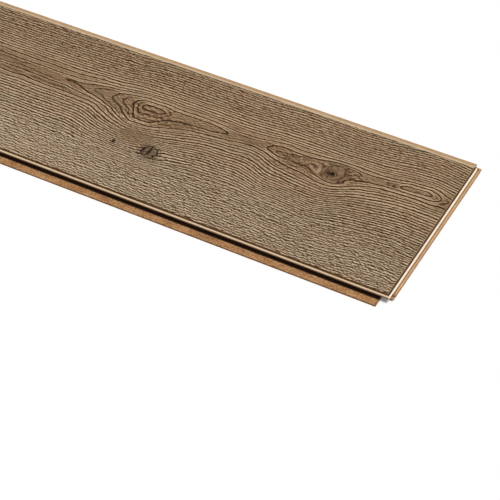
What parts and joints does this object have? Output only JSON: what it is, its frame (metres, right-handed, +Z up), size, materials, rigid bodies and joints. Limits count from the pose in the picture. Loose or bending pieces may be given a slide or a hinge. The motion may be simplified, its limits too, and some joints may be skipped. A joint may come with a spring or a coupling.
{
  "type": "laminate floor plank",
  "caption": "Flat laminate floor plank with a wood-grain face, bevelled top edges and a milled click profile: tongue on the rear and right edges, groove with lower lip on the front and left.",
  "frame": {"origin": "middle of the underside, centred on the overall length and width with tongues and lips", "axes": "+X along the plank towards the tongue end, +Y across it towards the tongue edge, +Z up from the underside to the decor face"},
  "size_m": [1.2964, 0.2076, 0.012],
  "materials": {
    "laminate": "matt embossed brown-grey oak decor on a tan fibreboard core"
  },
  "bodies": {
    "root": {"floor_plank": "laminate"}
  },
  "joints": []
}
